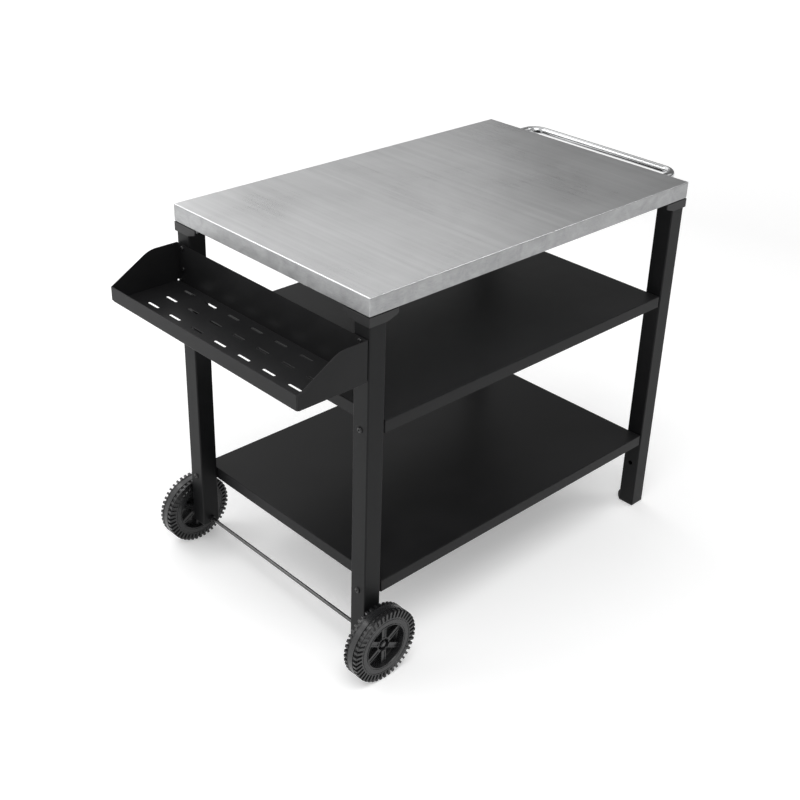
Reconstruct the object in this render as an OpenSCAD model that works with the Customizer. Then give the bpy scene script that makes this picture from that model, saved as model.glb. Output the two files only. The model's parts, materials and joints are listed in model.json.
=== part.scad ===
// Rolling grill cart: a folded stainless worktop on four square legs, two sheet shelves,
// a slotted side tray at the wheel end and a bent tube handle at the other end.
// X runs along the cart with the wheels at -X, Y runs across it, and Z is up.
// The origin is on the ground, below the middle of the whole cart from the tray to the handle.

/* [Worktop] */
// Length of the worktop along X
top_length = 956; // [760:1:1200]
// Width of the worktop across Y
top_width = 600; // [540:1:760]
// Height of the working surface above the ground
cart_height = 850; // [800:1:950]
// Depth of the folded apron
apron_drop = 36.5; // [32:0.5:50]
// Thickness of the stainless sheet
top_sheet = 1.2; // [0.8:0.1:2]
// Width of the flange that returns inward under the apron
top_return = 34; // [30:1:50]
// Outside radius of the worktop folds
top_fold_radius = 2.4; // [2.2:0.1:4]
// Width of each hat section under the worktop
top_hat_width = 46; // [30:1:70]
// Depth of each hat section under the worktop
top_hat_depth = 22; // [12:1:28]
// Distance between the two hat sections
top_hat_spacing = 250; // [160:1:300]

/* [Legs] */
// Outside size of the square leg tube
leg_size = 42; // [36:1:50]
// Wall of the leg tube
leg_wall = 1.5; // [1.2:0.1:2.5]
// Outside corner radius of the leg tube
leg_corner = 3; // [2.6:0.2:5]
// Setback of the leg from the apron face
leg_inset = 3; // [2:0.5:4]
// Distance that the wheel legs run on below the axle
leg_below_axle = 10; // [9:0.5:20]
// Thickness of the plug base under a wheel leg
plug_base = 2.5; // [2:0.5:4]
// Depth of the plugs and caps inside the leg tube
plug_depth = 24; // [18:1:34]
// Wall of the plugs and caps
plug_wall = 3; // [2:0.5:4]
// Diameter of the spare hole in the inner wall of each foot leg
spare_hole = 11.5; // [6:0.5:14]
// Height of the spare hole
spare_hole_height = 119; // [100:1:150]

/* [Leg brackets] */
// Height of the collar round the top of a leg
collar_height = 19.5; // [17:0.5:30]
// Thickness of the collar walls
collar_wall = 3; // [2:0.5:5]
// Reach of the flare past the leg
flare_reach = 26.5; // [24:0.5:40]
// Thickness of the bracket plate under the worktop
bracket_plate = 4; // [3:0.5:6]
// Height of the plate above the top of the collar
bracket_rise = 2.5; // [1.5:0.5:3]
// Distance of the worktop screws past the leg
top_screw_offset = 14; // [10:1:18]
// Height of the bracket screw below the top of the leg
bracket_screw_drop = 13; // [10:1:16]

/* [Feet] */
// Thickness of the foot under a foot leg
foot_base = 5; // [3:0.5:10]
// Rounding of the lower edge of the foot
foot_round = 2.5; // [1:0.5:3]
// Height of the rounded heel on the inner side
heel_height = 28; // [20:1:32]
// How far the heel stands off the leg
heel_depth = 5; // [4:0.5:8]
// Gap between the heel and the leg
heel_clearance = 0.1; // [0.05:0.05:0.4]

/* [Shelves] */
// Height of the top of the middle shelf
mid_shelf_height = 582; // [500:1:640]
// Height of the top of the bottom shelf
low_shelf_height = 208; // [180:1:260]
// Thickness of the shelf sheet
shelf_sheet = 1.2; // [0.8:0.1:2]
// Depth of the folded shelf flange
shelf_flange = 27; // [24:1:40]
// Width of the stiffening lip at the foot of the flange
shelf_lip = 11; // [8:1:16]
// Outside radius of the shelf folds
shelf_fold_radius = 2; // [1.8:0.1:3]
// Setback of the shelf from the outer face of the legs
shelf_setback = 1; // [0.5:0.5:4]
// Thickness of the spacers between shelf and leg
shelf_spacer = 3; // [1:0.5:5]
// Depth of the shelf bolts below the shelf top
shelf_bolt_drop = 11; // [9:0.5:12]
// Width of the hat section under each shelf
shelf_hat_width = 60; // [40:1:90]
// Depth of the hat section under each shelf
shelf_hat_depth = 18; // [10:1:22]

/* [Side tray] */
// Depth of the tray from its lip to its back
tray_depth = 162; // [150:0.5:200]
// Thickness of the spacers between the tray and the legs
tray_spacer = 2.5; // [1:0.5:4]
// Distance of the tray ends from the sides of the worktop
tray_margin = 4; // [2:0.5:20]
// Distance of the underside of the tray below the working surface
tray_drop = 170.5; // [160:0.5:200]
// Height of the back panel
tray_back = 87; // [76:1:96]
// Height of the front lip
tray_lip = 31.5; // [24:0.5:40]
// Thickness of the tray sheet
tray_sheet = 1.2; // [0.8:0.1:2]
// Outside radius of the tray folds
tray_fold_radius = 2; // [1.8:0.1:3]
// Length of the level top edge of each end plate
tray_shoulder = 67.5; // [50:0.5:80]
// Radius at the shoulder of each end plate
tray_shoulder_radius = 60; // [20:1:80]
// Width of the seam between the lip and each end plate
tray_seam = 1.2; // [0.4:0.1:1.6]
// Radius of the relief cut under each corner of the lip
lip_relief = 5; // [3.5:0.5:7]
// Radius of the relief hole at the two back corners
tray_relief = 2.6; // [2:0.1:3.5]
// Length of a floor slot
slot_length = 36; // [20:1:48]
// Width of a floor slot
slot_width = 6; // [5:0.5:9]
// Distance between slots across the cart
slot_pitch = 75; // [70:1:80]
// Number of slots in a row
slots_per_row = 7; // [3:1:7]
// Number of rows of slots
slot_rows = 3; // [1:1:3]
// Distance between the rows
row_pitch = 43.5; // [30:0.5:46]
// Distance of the first row from the back panel
first_row = 23; // [18:1:28]
// Distance of the upper tray screws below the top of the back panel
tray_screw_drop = 8; // [6:0.5:14]
// Distance between the upper and the lower tray screws
tray_screw_pitch = 47; // [30:1:54]

/* [Handle] */
// Outside diameter of the handle tube
handle_tube = 18; // [16:0.5:22]
// Wall of the handle tube
handle_wall = 1.5; // [1:0.1:2.5]
// Distance from the apron to the middle of the grip
handle_reach = 74; // [60:0.5:110]
// Distance between the two ends of the handle
handle_spread = 434; // [300:1:480]
// Bend radius of the tube at its middle line
handle_bend = 34; // [28:1:50]
// Length of the threaded plug in each end of the handle
handle_plug = 18; // [14:1:24]

/* [Wheels] */
// Diameter over the lugs
wheel_diameter = 164; // [158:1:172]
// Width of the wheel
wheel_width = 38.5; // [36:0.5:46]
// Gap between the leg and the wheel
wheel_gap = 6.5; // [5:0.5:14]
// Number of lugs round each row
lug_count = 44; // [36:2:50]
// Height of the lugs above the tread
lug_height = 4; // [2:0.5:5]
// Width of a lug along the tread
lug_width = 5; // [4:0.2:7]
// Width of the smooth band between the rows
band_width = 15; // [8:0.5:17]
// Width of the groove on each side of the band
band_groove = 1.8; // [1:0.2:2.4]
// Height of the fine bead along each edge of the band
band_bead = 0.6; // [0.3:0.1:1]
// Radius at which the lugs start on the sidewall
lug_root_radius = 66; // [64:0.5:68]
// Radius of the rim opening
rim_radius = 50; // [46:0.5:54]
// Radius of the narrowest part of the rim
rim_waist_radius = 46.5; // [43:0.5:47.5]
// Number of spokes
spoke_count = 6; // [5:1:7]
// Width of a spoke over its two ribs
spoke_width = 11.5; // [9:0.5:14]
// Thickness of a spoke rib
spoke_rib = 2.3; // [1.6:0.1:3]
// Thickness of the disc that closes the wheel behind the spokes
wheel_disc = 3; // [2:0.5:5]
// Depth of the channel between the two ribs of a spoke
spoke_channel = 1.2; // [0.6:0.2:4]
// Setback of the spokes from each face of the wheel
spoke_setback = 7.5; // [5:0.5:8.5]
// Outside radius of the hub
hub_radius = 16; // [14.5:0.5:18]
// Setback of the hub from the spokes
hub_drop = 1.5; // [0:0.5:3]
// Radius of the pocket for the axle nut
hub_pocket_radius = 13.5; // [12:0.5:13.5]
// Depth of the pocket for the axle nut
hub_pocket = 8; // [7.5:0.5:10]

/* [Axle] */
// Diameter of the axle rod
axle_diameter = 8; // [7:0.5:9]
// Radial running clearance of the wheel on the axle
axle_clearance = 0.05; // [0.02:0.01:0.1]
// Radial clearance of the axle in the legs
axle_leg_clearance = 0.25; // [0.1:0.05:0.4]
// Thickness of the spacer between leg and hub
axle_spacer = 2; // [1:0.5:3]
// Radius of the axle spacers and washers
axle_washer_radius = 11; // [9:0.5:11.5]
// Thickness of the outer axle washers
axle_washer = 1.5; // [1:0.5:2]
// Width across flats of the axle nuts
axle_nut_flats = 13; // [12:1:14]
// Height of the axle nuts
axle_nut_height = 6; // [5:0.5:6]

/* [Fasteners] */
// Diameter of the shelf and handle bolts
bolt_size = 6; // [5:0.5:8]
// Diameter of the tray, bracket and worktop screws
screw_size = 5; // [4:0.5:6]
// Head height of a bolt as a share of its diameter
head_share = 0.55; // [0.4:0.05:0.7]
// Head diameter of a bolt as a share of its diameter
head_ratio = 2.1; // [1.7:0.05:2.2]
// Width across flats of a nut as a share of its bolt
nut_ratio = 1.66; // [1.5:0.02:1.8]
// Height of a nut as a share of its bolt
nut_share = 0.8; // [0.6:0.05:1]

/* [Clearances] */
// Play at the end of the wheel hub
end_play = 0.3; // [0.2:0.05:0.5]
// Radial clearance of a bolt in its hole
hole_clearance = 0.25; // [0.15:0.05:0.4]
// Radial clearance of a bolt in its nut
thread_clearance = 0.05; // [0.03:0.01:0.1]
// Clearance of the plugs inside the leg tube
plug_clearance = 0.3; // [0.2:0.05:0.5]

/* [Hidden] */
$fn = 48;
cut = 1;

steel_colour = [0.66, 0.67, 0.68];
bright_colour = [0.8, 0.81, 0.82];
black_colour = [0.15, 0.15, 0.16];
plastic_colour = [0.1, 0.1, 0.11];
zinc_colour = [0.55, 0.56, 0.58];

half_length = top_length / 2;
half_width = top_width / 2;
// The tray reaches further out than the handle, so the cart sits off the middle of its worktop
worktop_x = (tray_depth + tray_spacer - leg_inset - handle_reach - handle_tube / 2) / 2;
leg_x = half_length - leg_inset;
leg_y = half_width - leg_inset;
leg_mid_x = leg_x - leg_size / 2;
leg_mid_y = leg_y - leg_size / 2;
apron_bottom = cart_height - apron_drop;
leg_top = apron_bottom - bracket_plate;
collar_top = apron_bottom - bracket_rise;
collar_bottom = collar_top - collar_height;

shelf_half_length = leg_x - leg_size - shelf_spacer;
shelf_half_width = leg_y - shelf_setback;
shelf_heights = [mid_shelf_height, low_shelf_height];

axle_height = wheel_diameter / 2;
wheel_leg_end = axle_height - leg_below_axle;
wheel_inner_y = leg_y + wheel_gap;
hub_inner_y = leg_y + axle_spacer + end_play;
hub_seat_u = wheel_width - spoke_setback - hub_drop - hub_pocket;
hub_seat_y = wheel_inner_y + hub_seat_u;
axle_end_y = hub_seat_y + end_play + axle_washer + axle_nut_height + 1;
handle_height = cart_height - apron_drop / 2;
tray_x = leg_x + tray_spacer;
tray_height = cart_height - tray_drop;
tray_width = top_width - 2 * tray_margin;
tray_screw_heights = [tray_back - tray_screw_drop, tray_back - tray_screw_drop - tray_screw_pitch];
bolt_head_h = bolt_size * head_share;
screw_head_h = screw_size * head_share;
bolt_nut_h = bolt_size * nut_share;
screw_nut_h = screw_size * nut_share;
washer_sheet = 1.5;

// Shared shapes

// Every piece is drawn about the middle of the worktop and then moved to the common origin
module in_place() { translate([worktop_x, 0, 0]) children(); }

// A square with rounded corners, centred on the origin
module rounded_rect(l, w, r) {
    square([l - 2 * r, w], center = true);
    square([l, w - 2 * r], center = true);
    for (x = [-1, 1], y = [-1, 1])
        translate([x * (l / 2 - r), y * (w / 2 - r)]) circle(r);
}

// An upright section, open at its foot, with its two upper corners rounded
module arched_section(w, h, r) {
    translate([-w / 2, -h]) square([w, h - r]);
    translate([-w / 2 + r, -h]) square([w - 2 * r, h]);
    for (x = [-1, 1]) translate([x * (w / 2 - r), -r]) circle(r);
}

// A block with its top at z = 0 whose upper and upright edges are rounded
module folded_block(l, w, h, r) {
    intersection() {
        translate([0, 0, -h]) linear_extrude(h + cut) rounded_rect(l, w, r);
        rotate([90, 0, 0]) translate([0, 0, -w]) linear_extrude(2 * w) arched_section(l, h, r);
        rotate([90, 0, 90]) translate([0, 0, -l]) linear_extrude(2 * l) arched_section(w, h, r);
    }
}

// A sheet folded down on four sides, with a lip that returns inward
module folded_pan(l, w, h, sheet, lip, r) {
    difference() {
        folded_block(l, w, h, r);
        translate([0, 0, -sheet]) intersection() {
            folded_block(l - 2 * sheet, w - 2 * sheet, h, r - sheet);
            translate([-l, -w, -h + 2 * sheet]) cube([2 * l, 2 * w, h]);
        }
        translate([lip - l / 2, lip - w / 2, -h - cut]) cube([l - 2 * lip, w - 2 * lip, h / 2]);
    }
}

// An open hat section along X whose rims touch z = 0
module hat_section(l, w, h, sheet) {
    rim = w / 4;
    difference() {
        translate([-l / 2, -w / 2, -h]) cube([l, w, h]);
        translate([-l / 2 - cut, -w / 2 + rim + sheet, -h + sheet])
            cube([l + 2 * cut, w - 2 * rim - 2 * sheet, h]);
        for (side = [-1, 1])
            translate([-l / 2 - cut, side * (w / 2 - rim / 2) - rim / 2, -h - cut])
                cube([l + 2 * cut, rim, h - sheet + cut]);
    }
}

// A square tube along Z
module leg_tube(bottom, top) {
    translate([0, 0, bottom]) linear_extrude(top - bottom) difference() {
        rounded_rect(leg_size, leg_size, leg_corner);
        rounded_rect(leg_size - 2 * leg_wall, leg_size - 2 * leg_wall, leg_corner - leg_wall);
    }
}

// A hollow square plug that hangs from z = 0 inside a leg tube
module leg_plug_skirt(depth) {
    size = leg_size - 2 * leg_wall - 2 * plug_clearance;
    translate([0, 0, -depth]) linear_extrude(depth) difference() {
        rounded_rect(size, size, leg_corner - leg_wall);
        square(size - 2 * plug_wall, center = true);
    }
}

// A button head bolt: the head stands below z = 0 and the shank runs up
module button_bolt(size, length) {
    head_r = size * head_ratio / 2;
    head_h = size * head_share;
    difference() {
        union() {
            rotate_extrude() polygon([
                [0, 0], [head_r, 0], [head_r, -head_h * 0.35], [head_r * 0.86, -head_h * 0.75],
                [head_r * 0.62, -head_h], [0, -head_h]
            ]);
            cylinder(h = length, r = size / 2);
        }
        translate([0, 0, -head_h - cut]) cylinder(h = head_h * 0.65 + cut, r = size * 0.36, $fn = 6);
    }
}

// A hex nut that stands on z = 0
module hex_nut(size, flats, height) {
    difference() {
        cylinder(h = height, r = flats / 2 / cos(30), $fn = 6);
        translate([0, 0, -cut]) cylinder(h = height + 2 * cut, r = size / 2 + thread_clearance);
    }
}

module washer(bore_r, outer_r, height) {
    difference() {
        cylinder(h = height, r = outer_r);
        translate([0, 0, -cut]) cylinder(h = height + 2 * cut, r = bore_r);
    }
}

// Turns what follows so that its +Z points along the X side given
module toward_x(side) { rotate([0, side * 90, 0]) children(); }

// Turns what follows so that its +Z points along the Y side given
module toward_y(side) { rotate([-side * 90, 0, 0]) children(); }

// Puts its children at one leg with the outer corner towards -X and -Y
module at_leg(side_x, side_y) {
    translate([side_x * leg_mid_x, side_y * leg_mid_y, 0])
        mirror([side_x > 0 ? 1 : 0, 0, 0]) mirror([0, side_y > 0 ? 1 : 0, 0]) children();
}

// Worktop

// The two screws of a bracket, from the leg axis towards the inside of the cart
top_screw_far = leg_size / 2 + top_screw_offset;
top_screw_near = (top_return - leg_inset) / 2 - leg_size / 2;
top_screw_places = [[top_screw_far, top_screw_near], [top_screw_near, top_screw_far]];

// The worktop is one folded sheet, drawn as its flat top and, below that, its folded sides
module worktop_outside() {
    translate([0, 0, cart_height]) folded_block(top_length, top_width, apron_drop, top_fold_radius);
}

module top_layer() {
    translate([-top_length, -top_width, cart_height - top_sheet])
        cube([2 * top_length, 2 * top_width, 2 * top_sheet]);
}

module tabletop() {
    color(steel_colour) in_place() intersection() {
        worktop_outside();
        top_layer();
    }
}

module top_aprons() {
    inner_length = top_length - 2 * top_sheet;
    inner_width = top_width - 2 * top_sheet;
    color(steel_colour) in_place() difference() {
        worktop_outside();
        top_layer();
        translate([0, 0, apron_bottom + top_sheet]) linear_extrude(apron_drop)
            rounded_rect(inner_length, inner_width, top_fold_radius - top_sheet);
        translate([top_return - half_length, top_return - half_width, apron_bottom - cut])
            cube([top_length - 2 * top_return, top_width - 2 * top_return, apron_drop]);
        for (sx = [-1, 1], sy = [-1, 1], p = top_screw_places)
            at_leg(sx, sy) translate([p[0], p[1], apron_bottom - cut])
                cylinder(h = top_sheet + 2 * cut, r = screw_size / 2 + hole_clearance);
        for (sy = [-1, 1])
            translate([half_length - top_sheet - cut, sy * handle_spread / 2, handle_height])
                toward_x(1) cylinder(h = top_sheet + 2 * cut, r = bolt_size / 2 + hole_clearance);
    }
}

module top_stiffeners() {
    length = top_length - 2 * top_sheet - 2 * top_fold_radius;
    color(zinc_colour) in_place() for (sy = [-1, 1])
        translate([0, sy * top_hat_spacing / 2, cart_height - top_sheet])
            hat_section(length, top_hat_width, top_hat_depth, top_sheet);
}

module top_screws() {
    length = bracket_plate + top_sheet + screw_nut_h + 1;
    color(zinc_colour) in_place() for (sx = [-1, 1], sy = [-1, 1], p = top_screw_places)
        at_leg(sx, sy) translate([p[0], p[1], leg_top]) button_bolt(screw_size, length);
}

module top_nuts() {
    color(zinc_colour) in_place() for (sx = [-1, 1], sy = [-1, 1], p = top_screw_places)
        at_leg(sx, sy) translate([p[0], p[1], apron_bottom + top_sheet])
            hex_nut(screw_size, screw_size * nut_ratio, screw_nut_h);
}

// Leg brackets

// Outline of one collar wall with its flare, drawn from the leg axis outward
module flare_outline() {
    leg_edge = leg_size / 2;
    tip = leg_edge + flare_reach;
    round_r = collar_height * 0.36;
    drop = collar_height * 0.3;
    arc = [for (a = [0:15:60]) [tip - round_r + round_r * cos(a), collar_top - drop - round_r * sin(a)]];
    polygon(concat([[-leg_edge, collar_top], [tip, collar_top]], arc,
                   [[leg_edge, collar_bottom], [-leg_edge, collar_bottom]]));
}

module collar_wall_x() {
    translate([0, -leg_size / 2, 0]) rotate([90, 0, 0]) linear_extrude(collar_wall) flare_outline();
}

module bracket() {
    leg_edge = leg_size / 2;
    reach = leg_edge + flare_reach - 4;
    brace = leg_edge * 0.35;
    rim = leg_edge + 1;
    plug_size = leg_size - 2 * leg_wall - 2 * plug_clearance;
    difference() {
        union() {
            collar_wall_x();
            mirror([1, -1, 0]) collar_wall_x();
            translate([-leg_edge - collar_wall, -leg_edge - collar_wall, collar_bottom])
                cube([collar_wall, collar_wall, collar_height]);
            translate([0, 0, leg_top]) linear_extrude(bracket_plate)
                polygon([[-rim, -rim], [reach, -rim], [reach, brace], [brace, reach], [-rim, reach]]);
            translate([0, 0, leg_top]) leg_plug_skirt(plug_depth);
        }
        for (p = top_screw_places)
            translate([p[0], p[1], leg_top - cut])
                cylinder(h = bracket_plate + 2 * cut, r = screw_size / 2 + hole_clearance);
        translate([0, plug_size / 2 - plug_wall - cut, leg_top - bracket_screw_drop])
            toward_y(1) cylinder(h = plug_wall + 2 * cut, r = screw_size / 2 + thread_clearance);
    }
}

module bracket_wheel_front() { color(plastic_colour) in_place() at_leg(-1, -1) bracket(); }
module bracket_wheel_rear() { color(plastic_colour) in_place() at_leg(-1, 1) bracket(); }
module bracket_foot_front() { color(plastic_colour) in_place() at_leg(1, -1) bracket(); }
module bracket_foot_rear() { color(plastic_colour) in_place() at_leg(1, 1) bracket(); }

module bracket_screws() {
    length = leg_wall + plug_clearance + plug_wall + 3;
    color(zinc_colour) in_place() for (sx = [-1, 1], sy = [-1, 1])
        at_leg(sx, sy) translate([0, leg_size / 2, leg_top - bracket_screw_drop])
            toward_y(-1) button_bolt(screw_size, length);
}

// Legs

// A leg with its axis at the origin and its outer corner towards -X and -Y
module leg(bottom) {
    shank_hole = bolt_size / 2 + hole_clearance;
    difference() {
        leg_tube(bottom, leg_top);
        for (h = shelf_heights)
            translate([-leg_size, 0, h - shelf_bolt_drop])
                toward_x(1) cylinder(h = 2 * leg_size, r = shank_hole);
        translate([0, 0, leg_top - bracket_screw_drop])
            toward_y(1) cylinder(h = leg_size, r = screw_size / 2 + hole_clearance);
    }
}

module wheel_leg() {
    difference() {
        leg(wheel_leg_end);
        translate([0, -leg_size, axle_height])
            toward_y(1) cylinder(h = 2 * leg_size, r = axle_diameter / 2 + axle_leg_clearance);
        for (h = tray_screw_heights)
            translate([-leg_size, 0, tray_height + h])
                toward_x(1) cylinder(h = leg_size, r = screw_size / 2 + hole_clearance);
    }
}

module foot_leg() {
    difference() {
        leg(foot_base);
        translate([0, 0, spare_hole_height]) toward_x(1) cylinder(h = leg_size, r = spare_hole / 2);
    }
}

module leg_wheel_front() { color(black_colour) in_place() at_leg(-1, -1) wheel_leg(); }
module leg_wheel_rear() { color(black_colour) in_place() at_leg(-1, 1) wheel_leg(); }
module leg_foot_front() { color(black_colour) in_place() at_leg(1, -1) foot_leg(); }
module leg_foot_rear() { color(black_colour) in_place() at_leg(1, 1) foot_leg(); }

module leg_plug() {
    translate([0, 0, wheel_leg_end]) mirror([0, 0, 1]) linear_extrude(plug_base)
        rounded_rect(leg_size, leg_size, leg_corner);
    // The skirt stops short of the axle that crosses the leg
    depth = min(plug_depth, leg_below_axle - axle_diameter / 2 - 2);
    translate([0, 0, wheel_leg_end]) mirror([0, 0, 1]) leg_plug_skirt(depth);
}

module leg_plug_front() { color(plastic_colour) in_place() at_leg(-1, -1) leg_plug(); }
module leg_plug_rear() { color(plastic_colour) in_place() at_leg(-1, 1) leg_plug(); }

// A foot with a rounded heel that stands off the inner face of the leg
module foot_cap() {
    translate([0, 0, foot_base]) mirror([0, 0, 1]) leg_plug_skirt(plug_depth);
    mirror([0, 0, 1]) folded_block(leg_size, leg_size, foot_base, foot_round);
    translate([foot_round - leg_size / 2, leg_size / 2, 0]) rotate([90, 0, 90])
        linear_extrude(leg_size - 2 * foot_round) heel_outline();
}

// The heel seen from the side, one arc that stands off the inner face of the leg at x = 0
module heel_outline() {
    arc_radius = (heel_height * heel_height / 4 + heel_depth * heel_depth) / (2 * heel_depth);
    difference() {
        intersection() {
            translate([heel_depth - arc_radius, heel_height / 2 + 1]) circle(arc_radius, $fn = 180);
            translate([-foot_round, 0]) square([heel_depth + foot_round + cut, heel_height + 2 * cut]);
        }
        translate([-foot_round - cut, foot_base])
            square([foot_round + cut + heel_clearance, heel_height + 2 * cut]);
        translate([-foot_round - cut, -cut]) square([foot_round + 2 * cut, foot_base * 0.4 + cut]);
    }
}

module foot_cap_front() { color(plastic_colour) in_place() at_leg(1, -1) foot_cap(); }
module foot_cap_rear() { color(plastic_colour) in_place() at_leg(1, 1) foot_cap(); }

// Shelves

module shelf(height) {
    difference() {
        translate([0, 0, height])
            folded_pan(2 * shelf_half_length, 2 * shelf_half_width, shelf_flange, shelf_sheet, shelf_lip,
                       shelf_fold_radius);
        for (sx = [-1, 1], sy = [-1, 1])
            translate([sx * (shelf_half_length - shelf_lip), sy * leg_mid_y, height - shelf_bolt_drop])
                toward_x(sx) cylinder(h = 2 * shelf_lip, r = bolt_size / 2 + hole_clearance);
    }
}

module mid_shelf() { color(black_colour) in_place() shelf(mid_shelf_height); }
module bottom_shelf() { color(black_colour) in_place() shelf(low_shelf_height); }

module shelf_stiffeners() {
    length = 2 * (shelf_half_length - shelf_lip) - 2;
    color(black_colour) in_place() for (h = shelf_heights)
        translate([0, 0, h - shelf_sheet]) hat_section(length, shelf_hat_width, shelf_hat_depth, shelf_sheet);
}

module at_shelf_bolts(sides) {
    for (h = shelf_heights, sx = sides, sy = [-1, 1])
        translate([0, sy * leg_mid_y, h - shelf_bolt_drop]) mirror([sx > 0 ? 1 : 0, 0, 0]) children();
}

module shelf_bolt() {
    length = leg_size + shelf_spacer + shelf_sheet + bolt_nut_h + 1;
    translate([-leg_x, 0, 0]) toward_x(1) button_bolt(bolt_size, length);
}

module shelf_bolts_wheel_end() { color(plastic_colour) in_place() at_shelf_bolts([-1]) shelf_bolt(); }
module shelf_bolts_foot_end() { color(plastic_colour) in_place() at_shelf_bolts([1]) shelf_bolt(); }

module shelf_spacers() {
    color(plastic_colour) in_place() at_shelf_bolts([-1, 1])
        translate([-shelf_half_length - shelf_spacer, 0, 0]) toward_x(1)
            washer(bolt_size / 2 + hole_clearance, bolt_size * 1.15, shelf_spacer);
}

module shelf_nuts() {
    color(zinc_colour) in_place() at_shelf_bolts([-1, 1]) translate([-shelf_half_length + shelf_sheet, 0, 0])
        toward_x(1) hex_nut(bolt_size, bolt_size * nut_ratio, bolt_nut_h);
}

// Side tray

// A point list for an arc round a centre
function arc_points(c, r, a0, a1, n) =
    [for (i = [0:n]) let (a = a0 + (a1 - a0) * i / n) c + r * [cos(a), sin(a)]];

// The end plate seen from the side: x runs out from the legs and y runs up
module end_plate_outline() {
    r = tray_fold_radius;
    run = tray_depth - tray_shoulder;
    slope = atan((tray_back - tray_lip) / run);
    // The arc touches the level edge and the sloped edge at the same distance from their corner
    touch = tray_shoulder_radius * tan(slope / 2);
    shoulder = arc_points([tray_shoulder - touch, tray_back - tray_shoulder_radius], tray_shoulder_radius,
                          90 - slope, 90, 6);
    polygon(concat(arc_points([r, r], r, 180, 270, 4), arc_points([tray_depth - r, r], r, 270, 360, 4),
                   [[tray_depth, tray_lip]], shoulder, [[0, tray_back]]));
}

module slot_cut() {
    translate([0, 0, -cut]) linear_extrude(tray_sheet + 2 * cut) {
        square([slot_width, slot_length - slot_width], center = true);
        for (y = [-1, 1]) translate([0, y * (slot_length - slot_width) / 2]) circle(slot_width / 2);
    }
}

// The tray with its back at x = 0 and its floor at z = 0
module tray_shape() {
    t = tray_sheet;
    seam_y = tray_width / 2 - t - tray_seam / 2;
    difference() {
        intersection() {
            translate([0, tray_width / 2, 0]) rotate([90, 0, 0]) linear_extrude(tray_width)
                end_plate_outline();
            mirror([0, 0, 1]) rotate([90, 0, 90]) linear_extrude(tray_depth)
                arched_section(tray_width, tray_back, tray_fold_radius);
        }
        translate([t, t - tray_width / 2, t]) cube([tray_depth - 2 * t, tray_width - 2 * t, tray_back]);
        for (sy = [-1, 1])
            translate([tray_depth - t - cut, sy * seam_y - tray_seam / 2, tray_fold_radius])
                cube([t + 2 * cut, tray_seam, tray_lip]);
        for (sy = [-1, 1])
            translate([tray_depth, sy * tray_width / 2, -cut])
                cylinder(h = cut + tray_fold_radius + 0.3, r = lip_relief);
        for (row = [0:slot_rows - 1], i = [0:slots_per_row - 1])
            translate([first_row + row * row_pitch, (i - (slots_per_row - 1) / 2) * slot_pitch, 0])
                slot_cut();
        for (sy = [-1, 1], h = tray_screw_heights)
            translate([-cut, sy * leg_mid_y, h])
                toward_x(1) cylinder(h = t + 2 * cut, r = screw_size / 2 + hole_clearance);
        for (sy = [-1, 1])
            translate([-cut, sy * tray_width / 2, t])
                toward_x(1) cylinder(h = 2 * tray_relief, r = tray_relief);
    }
}

module side_tray() {
    color(black_colour) in_place() translate([-tray_x, 0, tray_height]) mirror([1, 0, 0]) tray_shape();
}

module at_tray_screws() {
    for (sy = [-1, 1], h = tray_screw_heights)
        translate([-tray_x, sy * leg_mid_y, tray_height + h]) children();
}

module tray_spacers() {
    color(plastic_colour) in_place() at_tray_screws() toward_x(1)
        washer(screw_size / 2 + hole_clearance, screw_size * 1.1, tray_spacer);
}

module tray_screws() {
    length = tray_sheet + tray_spacer + leg_wall + screw_nut_h + 2;
    color(plastic_colour) in_place() at_tray_screws() translate([-tray_sheet, 0, 0])
        toward_x(1) button_bolt(screw_size, length);
}

module tray_nuts() {
    color(zinc_colour) in_place() at_tray_screws() translate([tray_spacer + leg_wall, 0, 0])
        toward_x(1) hex_nut(screw_size, screw_size * nut_ratio, screw_nut_h);
}

// Handle

// A bar or bore of radius r that follows the middle line of the handle
module handle_path(r) {
    straight = handle_reach - handle_bend;
    half = handle_spread / 2;
    for (sy = [-1, 1]) {
        translate([0, sy * half, 0]) toward_x(1) cylinder(h = straight, r = r);
        translate([straight, sy * (half - handle_bend), 0]) mirror([0, sy < 0 ? 1 : 0, 0])
            rotate_extrude(angle = 90) translate([handle_bend, 0]) circle(r);
    }
    translate([handle_reach, handle_bend - half, 0])
        toward_y(1) cylinder(h = 2 * (half - handle_bend), r = r);
}

module handle() {
    color(bright_colour) in_place() translate([half_length, 0, handle_height]) difference() {
        union() {
            difference() {
                handle_path(handle_tube / 2);
                handle_path(handle_tube / 2 - handle_wall);
            }
            for (sy = [-1, 1])
                translate([0, sy * handle_spread / 2, 0])
                    toward_x(1) cylinder(h = handle_plug, r = handle_tube / 2 - handle_wall / 2);
        }
        for (sy = [-1, 1])
            translate([-cut, sy * handle_spread / 2, 0])
                toward_x(1) cylinder(h = handle_plug + 2 * cut, r = bolt_size / 2 + thread_clearance);
    }
}

module handle_screws() {
    length = washer_sheet + top_sheet + handle_plug - 3;
    color(zinc_colour) in_place() for (sy = [-1, 1])
        translate([half_length - top_sheet - washer_sheet, sy * handle_spread / 2, handle_height])
            toward_x(1) button_bolt(bolt_size, length);
}

module handle_washers() {
    color(zinc_colour) in_place() for (sy = [-1, 1])
        translate([half_length - top_sheet - washer_sheet, sy * handle_spread / 2, handle_height])
            toward_x(1) washer(bolt_size / 2 + hole_clearance, bolt_size * 1.1, washer_sheet);
}

// Wheels and axle

// Half section of the tread with the lugs filled in: radius against distance from the mid plane
function lug_envelope(tip, side) = [
    [lug_root_radius - 1, side - 0.6], [lug_root_radius, side], [tip - 1.2, side], [tip, side - 1.2]
];

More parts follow.
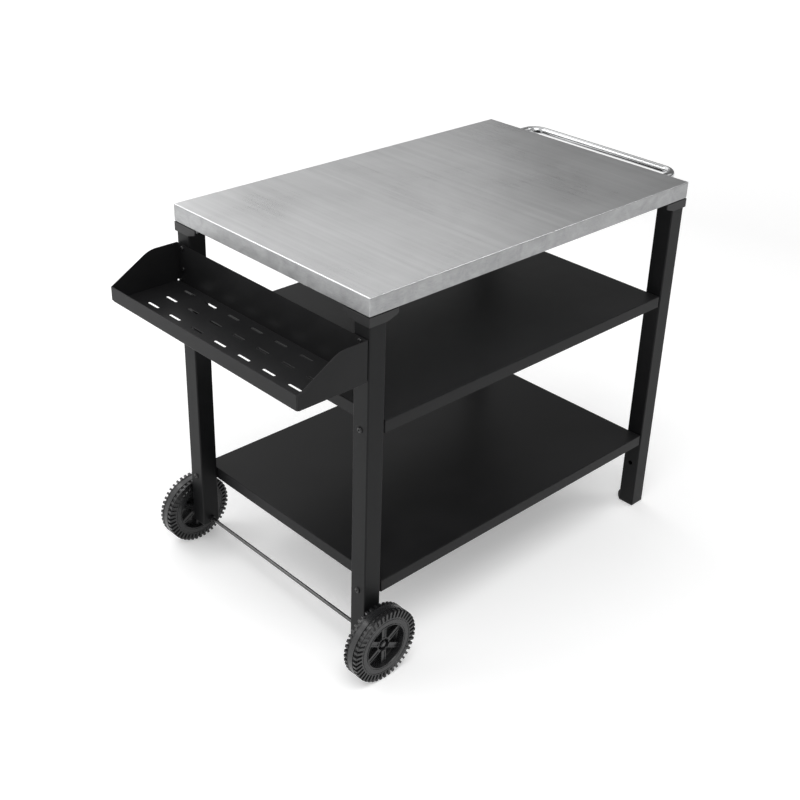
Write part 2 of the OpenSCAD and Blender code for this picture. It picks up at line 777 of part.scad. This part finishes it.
// The disc, the rim and the tyre between the lugs
module tyre_section() {
    side = wheel_width / 2;
    tip = axle_height;
    base = tip - lug_height;
    band = band_width / 2;
    wall = side - 0.4;
    half = [
        [hub_radius - 1, wheel_disc / 2], [rim_waist_radius - 1.5, wheel_disc / 2],
        [rim_waist_radius, wheel_disc / 2 + 1.5], [rim_radius - 1.4, side - 1.4], [rim_radius - 0.8, side],
        [rim_radius + 0.8, side], [rim_radius + 1.2, wall - 0.8], [rim_radius + 2.4, wall - 0.8],
        [rim_radius + 2.8, wall], [lug_root_radius - 4.4, wall], [lug_root_radius - 4, wall - 0.8],
        [lug_root_radius - 2.8, wall - 0.8], [lug_root_radius - 2.4, wall], [lug_root_radius - 0.4, wall],
        [lug_root_radius + 1.6, wall - 2.4], [base - 1, wall - 3], [base, wall - 4.4],
        [base, band + band_groove], [base + 0.6, band], [tip, band], [tip, band - 0.8],
        [tip - band_bead, band - 1.4]
    ];
    polygon(concat(half, [for (i = [len(half) - 1:-1:0]) [half[i][0], -half[i][1]]]));
}

// One row of lugs, which run on down the sidewall
module lug_row() {
    side = wheel_width / 2;
    tip = axle_height;
    start = band_width / 2 + band_groove;
    inner = lug_root_radius - 1;
    intersection() {
        rotate_extrude() polygon(concat([[inner, start]], lug_envelope(tip, side), [[tip, start]]));
        translate([0, 0, start]) linear_extrude(side)
            for (k = [0:lug_count - 1]) rotate(k * 360 / lug_count)
                polygon([[inner - 1, -lug_width * 0.42], [tip + 1, -lug_width / 2],
                         [tip + 1, lug_width / 2], [inner - 1, lug_width * 0.42]]);
    }
}

// One spoke along +X: a bar with a shallow channel in each face
module spoke() {
    start = hub_radius - 1.5;
    length = rim_waist_radius + 1.6 - start;
    height = wheel_width - 2 * spoke_setback;
    difference() {
        translate([start, -spoke_width / 2, -height / 2]) cube([length, spoke_width, height]);
        for (side = [-1, 1])
            translate([hub_radius + 1.5, spoke_rib - spoke_width / 2, side * height / 2 - spoke_channel])
                cube([rim_waist_radius - 3 - hub_radius, spoke_width - 2 * spoke_rib, 2 * spoke_channel]);
    }
}

// The wheel with its mid plane at z = 0 and its outer face towards +Z
module wheel() {
    side = wheel_width / 2;
    hub_back = wheel_inner_y + side - hub_inner_y;
    hub_front = side - spoke_setback - hub_drop;
    difference() {
        union() {
            rotate_extrude() tyre_section();
            lug_row();
            mirror([0, 0, 1]) lug_row();
            for (k = [0:spoke_count - 1]) rotate(90 + k * 360 / spoke_count) spoke();
            translate([0, 0, -hub_back]) cylinder(h = hub_back + hub_front, r = hub_radius);
        }
        translate([0, 0, -hub_back - cut])
            cylinder(h = hub_back + hub_front + 2 * cut, r = axle_diameter / 2 + axle_clearance);
        translate([0, 0, hub_front - hub_pocket]) cylinder(h = hub_pocket + cut, r = hub_pocket_radius);
    }
}

module at_wheel(sy) {
    translate([-leg_mid_x, sy * (wheel_inner_y + wheel_width / 2), axle_height]) toward_y(sy) children();
}

module wheel_front() { color(plastic_colour) in_place() at_wheel(-1) wheel(); }
module wheel_rear() { color(plastic_colour) in_place() at_wheel(1) wheel(); }

module axle() {
    color(black_colour) in_place() translate([-leg_mid_x, -axle_end_y, axle_height])
        toward_y(1) cylinder(h = 2 * axle_end_y, r = axle_diameter / 2);
}

// Puts its children on the axle at a distance from the middle, with +Z pointing outboard
module on_axle(y) {
    for (sy = [-1, 1]) translate([-leg_mid_x, sy * y, axle_height]) toward_y(sy) children();
}

module axle_inner_nuts() {
    color(zinc_colour) in_place() on_axle(leg_y - leg_size - axle_nut_height)
        hex_nut(axle_diameter, axle_nut_flats, axle_nut_height);
}

module axle_spacers() {
    color(zinc_colour) in_place() on_axle(leg_y)
        washer(axle_diameter / 2 + thread_clearance, axle_washer_radius, axle_spacer);
}

module axle_washers() {
    color(zinc_colour) in_place() on_axle(hub_seat_y + end_play)
        washer(axle_diameter / 2 + thread_clearance, axle_washer_radius, axle_washer);
}

module axle_nuts() {
    color(black_colour) in_place() on_axle(hub_seat_y + end_play + axle_washer)
        hex_nut(axle_diameter, axle_nut_flats, axle_nut_height);
}

tabletop();
top_aprons();
top_stiffeners();
leg_wheel_front();
leg_wheel_rear();
leg_foot_front();
leg_foot_rear();
bracket_wheel_front();
bracket_wheel_rear();
bracket_foot_front();
bracket_foot_rear();
top_screws();
top_nuts();
bracket_screws();
mid_shelf();
bottom_shelf();
shelf_stiffeners();
shelf_spacers();
shelf_bolts_wheel_end();
shelf_bolts_foot_end();
shelf_nuts();
side_tray();
tray_spacers();
tray_screws();
tray_nuts();
handle();
handle_screws();
handle_washers();
foot_cap_front();
foot_cap_rear();
leg_plug_front();
leg_plug_rear();
axle();
axle_inner_nuts();
axle_spacers();
wheel_front();
wheel_rear();
axle_washers();
axle_nuts();
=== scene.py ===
"""Looks of the grill cart: materials, floor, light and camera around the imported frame."""
import json
import math

import bmesh
import bpy
from mathutils import Matrix, Vector

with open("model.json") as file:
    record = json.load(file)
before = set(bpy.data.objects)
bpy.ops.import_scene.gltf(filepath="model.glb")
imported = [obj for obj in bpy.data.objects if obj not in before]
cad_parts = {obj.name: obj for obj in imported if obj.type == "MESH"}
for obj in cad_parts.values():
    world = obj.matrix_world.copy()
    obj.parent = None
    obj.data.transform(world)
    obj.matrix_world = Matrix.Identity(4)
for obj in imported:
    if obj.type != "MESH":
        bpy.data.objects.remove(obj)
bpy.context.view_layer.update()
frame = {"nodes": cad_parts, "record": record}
NODES = frame["nodes"]

# Materials


class Graph:
    """One new material, and short ways to add nodes to it. A keyword's underscores stand for blanks."""

    def __init__(self, name):
        self.material = bpy.data.materials.new(name)
        self.material.use_nodes = True
        self.tree = self.material.node_tree
        self.shader = self.tree.nodes["Principled BSDF"]
        self.place = self.tree.nodes.new("ShaderNodeTexCoord").outputs["Object"]

    def feed(self, socket, value):
        """Links the value to the socket if it is another node's output, or else sets it there."""
        if isinstance(value, bpy.types.NodeSocket):
            self.tree.links.new(value, socket)
        else:
            socket.default_value = value

    def node(self, kind, **inputs):
        made = self.tree.nodes.new(kind)
        for key, value in inputs.items():
            self.feed(made.inputs[key.replace("_", " ")], value)
        return made

    def set(self, **values):
        """Feeds the shader's own sockets."""
        for key, value in values.items():
            self.feed(self.shader.inputs[key.replace("_", " ")], value)

    def noise(self, scale, detail=2.0, rough=0.5, vector=None, distortion=0.0):
        made = self.node(
            "ShaderNodeTexNoise",
            Vector=vector or self.place,
            Scale=scale, Detail=detail, Roughness=rough, Distortion=distortion,
        )
        return made.outputs["Fac"]

    def grain(self, x, y, z):
        """Noise with its own scale along each axis, so that it is drawn out where the scale is small."""
        mapping = self.node("ShaderNodeMapping", Vector=self.place, Scale=(x, y, z))
        return self.noise(1.0, rough=0.6, vector=mapping.outputs["Vector"])

    def spread(self, value, to_low, to_high, low=0.3, high=0.7):
        """Spreads what lies between low and high, by default the bulk of a noise, from to_low to to_high."""
        made = self.node(
            "ShaderNodeMapRange",
            Value=value, From_Min=low, From_Max=high, To_Min=to_low, To_Max=to_high,
        )
        return made.outputs["Result"]

    def math(self, operation, a, b):
        made = self.tree.nodes.new("ShaderNodeMath")
        made.operation = operation
        for socket, value in zip(made.inputs, (a, b)):
            self.feed(socket, value)
        return made.outputs[0]

    def add_up(self, first, *others):
        """The sum of several noises, each given with its share."""
        total = self.math("MULTIPLY", *first)
        for part in others:
            total = self.math("ADD", total, self.math("MULTIPLY", *part))
        return total

    def mix(self, factor, a, b):
        """A mix of two colours. The node has sockets of each name for every type, so they go by number."""
        made = self.tree.nodes.new("ShaderNodeMix")
        made.data_type = "RGBA"
        for number, value in ((0, factor), (6, (*a, 1)), (7, (*b, 1))):
            self.feed(made.inputs[number], value)
        return made.outputs[2]

    def bump(self, height, strength, distance):
        made = self.node("ShaderNodeBump", Height=height, Strength=strength, Distance=distance)
        self.set(Normal=made.outputs["Normal"])


# Depth in metres that the bump of steel and paint stands for
FINE_GRAIN = 0.00003


def brushed_steel():
    """Stainless sheet with a fine grain that runs across the cart."""
    g = Graph("worktop_steel")
    fine = g.grain(1500, 7, 7)
    wide = g.grain(70, 1.2, 1.2)
    cloud = g.noise(5.0, detail=4.0, rough=0.6, distortion=0.5)
    tone = g.spread(g.add_up((fine, 0.3), (wide, 0.35), (cloud, 0.35)), 0, 1, low=0.35, high=0.65)
    g.set(Base_Color=g.mix(tone, (0.50, 0.503, 0.508), (0.63, 0.633, 0.637)), Metallic=1.0)
    rough = g.spread(fine, 0.26, 0.34, low=0.2, high=0.8)
    g.set(Roughness=g.math("ADD", rough, g.spread(cloud, -0.02, 0.03)))
    g.bump(fine, strength=0.2, distance=FINE_GRAIN)
    return g.material


def shaded_folded_steel():
    """The folded sides of the same sheet: no long grain shows there, but a mottled mill finish. Their colour
    is painted darker than the top's steel, as painted shade on the sides.
    """
    g = Graph("shaded_folded_steel")
    fine = g.grain(60, 60, 900)
    blotch = g.noise(28.0, detail=5.0, rough=0.65, distortion=0.8)
    cloud = g.noise(6.0, detail=4.0, rough=0.6, distortion=0.5)
    tone = g.spread(g.add_up((fine, 0.2), (blotch, 0.45), (cloud, 0.35)), 0, 1, low=0.38, high=0.62)
    # Painted shade: this base colour is darker than the top's steel of the same sheet, so the sides look
    # shaded. The mottled tone is the sheet's own finish.
    g.set(Base_Color=g.mix(tone, (0.27, 0.273, 0.277), (0.43, 0.433, 0.437)), Metallic=1.0)
    g.set(Roughness=g.spread(blotch, 0.33, 0.43))
    g.bump(fine, strength=0.15, distance=FINE_GRAIN)
    return g.material


def polished_steel():
    """Bright tube with a thin uneven film."""
    g = Graph("polished_steel")
    film = g.noise(30, detail=3, rough=0.6)
    g.set(Base_Color=g.mix(film, (0.50, 0.505, 0.51), (0.58, 0.585, 0.59)), Metallic=1.0)
    g.set(Roughness=g.spread(film, 0.14, 0.22))
    return g.material


def zinc():
    """Zinc plate with its spangle."""
    g = Graph("zinc_steel")
    spangle = g.noise(260, detail=3, rough=0.6)
    g.set(Base_Color=g.mix(spangle, (0.40, 0.41, 0.43), (0.62, 0.62, 0.62)), Metallic=1.0)
    g.set(Roughness=g.spread(spangle, 0.28, 0.45))
    return g.material


def powder_coat(name, dark, light, rough, grain, shine):
    """Satin black paint with a fine orange-peel grain."""
    g = Graph(name)
    peel = g.noise(grain)
    cloud = g.noise(9, detail=4, rough=0.6)
    g.set(Base_Color=g.mix(g.spread(cloud, 0, 1), dark, light), Specular_IOR_Level=shine)
    g.set(Roughness=g.spread(cloud, rough - 0.03, rough + 0.05))
    g.bump(peel, strength=0.35, distance=FINE_GRAIN)
    return g.material


def moulded(name, dark, light, rough, grain, depth, shine):
    """Moulded black plastic with a fine spark-eroded grain."""
    g = Graph(name)
    pits = g.noise(grain, detail=3, rough=0.6)
    cloud = g.noise(14, detail=4, rough=0.6)
    g.set(Base_Color=g.mix(g.spread(cloud, 0, 1), dark, light), Specular_IOR_Level=shine)
    g.set(Roughness=g.spread(pits, rough - 0.05, rough + 0.06))
    g.bump(pits, strength=0.4, distance=depth)
    return g.material


BLACK_OXIDE = {"dark": (0.006, 0.006, 0.0065), "light": (0.010, 0.010, 0.0105), "grain": 2200}

MATERIALS = {
    "worktop_steel": brushed_steel(),
    "shaded_folded_steel": shaded_folded_steel(),
    "polished_steel": polished_steel(),
    "black_frame": powder_coat(
        "black_frame", dark=(0.005, 0.0052, 0.0056), light=(0.0075, 0.0077, 0.0082),
        rough=0.42, grain=1400, shine=0.15,
    ),
    "black_sheet": powder_coat(
        "black_sheet", dark=(0.009, 0.009, 0.0095), light=(0.0125, 0.0125, 0.013),
        rough=0.38, grain=1400, shine=0.13,
    ),
    "black_bolt": powder_coat("black_bolt", rough=0.3, shine=0.4, **BLACK_OXIDE),
    "black_rod": powder_coat("black_rod", rough=0.14, shine=0.9, **BLACK_OXIDE),
    "zinc_steel": zinc(),
    "black_plastic": moulded(
        "black_plastic", dark=(0.008, 0.008, 0.0085), light=(0.012, 0.012, 0.0125),
        rough=0.42, grain=1800, depth=0.00004, shine=0.35,
    ),
    "wheel_plastic": moulded(
        "wheel_plastic", dark=(0.011, 0.0112, 0.0118), light=(0.017, 0.0172, 0.018),
        rough=0.25, grain=1500, depth=0.00005, shine=0.5,
    ),
}

# Each node gets the material of its slot in the record, apart from these two
FINISH = {"top_aprons": "shaded_folded_steel", "axle": "black_rod"}
SLOTS = {part["node"]: part["material_slot"] for part in frame["record"]["subparts"]}
for name, obj in NODES.items():
    for slot in obj.material_slots:
        slot.material = MATERIALS[FINISH.get(name, SLOTS[name])]

# Floor and backdrop

FLOOR_SIZE = 60
# The floor's glow, and the distances from the cart's middle between which it grows, in metres
GLOW_NEAR, GLOW_FAR = 0.28, 0.95
GLOW_START, GLOW_END = 2.4, 6.0
# How bright the world is to the cart, and to the camera
WORLD_LIGHT, WORLD_SEEN = 0.2, 1.0


def pale_floor():
    """A white sweep: it glows more and more away from the cart, so that it runs into the white beyond."""
    g = Graph("floor")
    away = g.node("ShaderNodeVectorMath", Vector=g.place)
    away.operation = "LENGTH"
    glow = g.spread(away.outputs["Value"], GLOW_NEAR, GLOW_FAR, low=GLOW_START, high=GLOW_END)
    g.set(Base_Color=(0.86, 0.86, 0.86, 1), Roughness=0.9)
    g.set(Emission_Color=(1, 1, 1, 1), Emission_Strength=glow)
    return g.material


floor_mesh = bpy.data.meshes.new("floor")
grid = bmesh.new()
bmesh.ops.create_grid(grid, x_segments=1, y_segments=1, size=FLOOR_SIZE / 2)
grid.to_mesh(floor_mesh)
grid.free()
floor_mesh.materials.append(pale_floor())
floor = bpy.data.objects.new("floor", floor_mesh)
bpy.context.scene.collection.objects.link(floor)

world = bpy.data.worlds.new("studio")
bpy.context.scene.world = world
world.use_nodes = True
backdrop = world.node_tree.nodes["Background"]
backdrop.inputs["Color"].default_value = (1, 1, 1, 1)
path = world.node_tree.nodes.new("ShaderNodeLightPath")
strength = world.node_tree.nodes.new("ShaderNodeMapRange")
strength.inputs["To Min"].default_value = WORLD_LIGHT
strength.inputs["To Max"].default_value = WORLD_SEEN
world.node_tree.links.new(path.outputs["Is Camera Ray"], strength.inputs["Value"])
world.node_tree.links.new(strength.outputs["Result"], backdrop.inputs["Strength"])

# Lights: places and sizes in metres, directions in degrees, power in watts

MIDDLE = (0, 0, 0.5)


def area(name, place, target, size, power):
    """A square soft light at place, turned to target."""
    data = bpy.data.lights.new(name, "AREA")
    data.size = size
    data.energy = power
    obj = bpy.data.objects.new(name, data)
    obj.location = place
    obj.visible_camera = False
    aim = Vector(target) - Vector(place)
    obj.rotation_euler = aim.to_track_quat("-Z", "Y").to_euler()
    bpy.context.scene.collection.objects.link(obj)


def dome_light(name, azimuth, elevation, size, power, radius=4.5):
    """A light on a dome round the middle of the cart. It is turned to that middle."""
    a, e = math.radians(azimuth), math.radians(elevation)
    reach = radius * math.cos(e)
    place = (reach * math.cos(a), reach * math.sin(a), MIDDLE[2] + radius * math.sin(e))
    area(name, place, MIDDLE, size, power)


# Most lights are large and dim, because the steel top mirrors a small bright one as a white patch.
# The two small keys draw the highlights on edges, and stand too high for a low view to mirror them.
dome_light("back_low", 57, 30, size=3.0, power=9, radius=5.0)
dome_light("back_high", 45, 45, size=3.0, power=16, radius=5.0)
dome_light("side", 88, 35, size=4.0, power=58, radius=5.0)
dome_light("left", 130, 40, size=3.2, power=36)
dome_light("right", -37, 40, size=3.2, power=22)
dome_light("left_key", 122, 42, size=0.9, power=15)
dome_light("right_key", -37, 42, size=0.9, power=13)
dome_light("over", 0, 90, size=3.0, power=24, radius=3.3)
dome_light("front_high", 225, 60, size=2.4, power=29, radius=4.0)
dome_light("front_low", 225, 18, size=2.0, power=12)
dome_light("front_right", -90, 25, size=2.4, power=8)
dome_light("front_left", 180, 30, size=2.4, power=22)
area("tray_side", (-2.2, 1.3, 1.0), (-0.4, 0.2, 0.6), size=1.8, power=12)
area("near_side", (-0.9, -1.2, 2.4), (-0.2, -0.2, 0.7), size=1.8, power=18)

bpy.context.scene.view_settings.view_transform = "Standard"
bpy.context.scene.view_settings.look = "None"
bpy.context.scene.view_settings.exposure = 0.0

# The camera was solved from the straight edges of the cart in the photo. Its place is in metres and its turn
# in degrees; its focal length and the centre of its picture are in pixels of the photo.
EYE = Vector((-1.76829, -1.74637, 1.76673))
YAW, PITCH, ROLL = (math.radians(angle) for angle in (45.22, -27.79, 2.08))
PHOTO_SIDE = 800
FOCAL_PIXELS = 1241.34
CENTRE_X, CENTRE_Y = 410.88, 359.96
SENSOR_MM = 36

forward = Vector((math.cos(PITCH) * math.cos(YAW), math.cos(PITCH) * math.sin(YAW), math.sin(PITCH)))
level_right = forward.cross(Vector((0, 0, 1))).normalized()
level_up = level_right.cross(forward)
right = level_right * math.cos(ROLL) + level_up * math.sin(ROLL)
up = level_up * math.cos(ROLL) - level_right * math.sin(ROLL)

camera_data = bpy.data.cameras.new("camera")
camera_data.sensor_width = SENSOR_MM
camera_data.lens = FOCAL_PIXELS * SENSOR_MM / PHOTO_SIDE
camera_data.shift_x = (PHOTO_SIDE / 2 - CENTRE_X) / PHOTO_SIDE
camera_data.shift_y = (CENTRE_Y - PHOTO_SIDE / 2) / PHOTO_SIDE
camera_data.clip_start = 0.05
camera_data.clip_end = 100
camera = bpy.data.objects.new("camera", camera_data)
turn = Matrix((right, up, -forward)).transposed()
camera.matrix_world = Matrix.Translation(EYE) @ turn.to_4x4()
bpy.context.scene.collection.objects.link(camera)
bpy.context.scene.camera = camera
